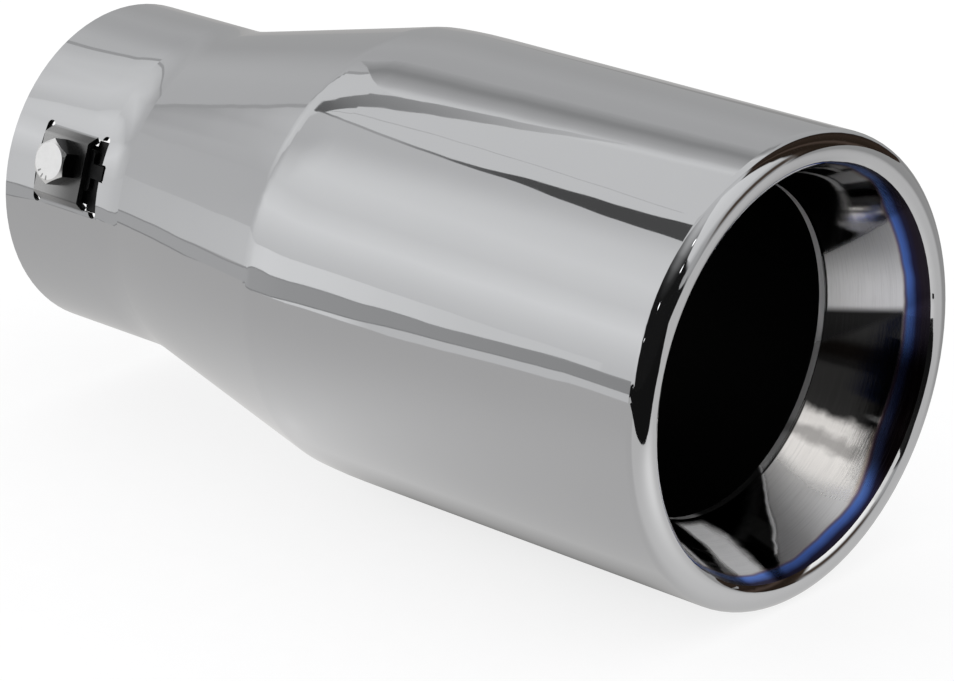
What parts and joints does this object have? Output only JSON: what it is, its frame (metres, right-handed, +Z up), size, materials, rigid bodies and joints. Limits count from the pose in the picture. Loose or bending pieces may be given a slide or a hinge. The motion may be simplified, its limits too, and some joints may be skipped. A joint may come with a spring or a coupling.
{
  "type": "exhaust tip",
  "caption": "Round bolt-on exhaust tip with a slim inlet collar, a flared body, a rolled outlet lip and a funnel-shaped liner.",
  "frame": {"origin": "centre of the inlet bore, in the plane of the collar's mouth", "axes": "+X along the tip from the inlet to the outlet, +Z up as the tip lies on its side, with the clamp screw on the -Y side"},
  "size_m": [0.1765, 0.0888, 0.0888],
  "materials": {
    "outer_shell": "mirror-polished stainless steel",
    "inner_liner": "polished stainless steel with a heat-tinted ring at the weld",
    "clamp_screw": "satin zinc plate",
    "nut_plate": "dark plain steel"
  },
  "bodies": {
    "root": {"outer_shell": "outer_shell", "inner_liner": "inner_liner", "clamp_screw": "clamp_screw", "nut_plate": "nut_plate"}
  },
  "joints": []
}
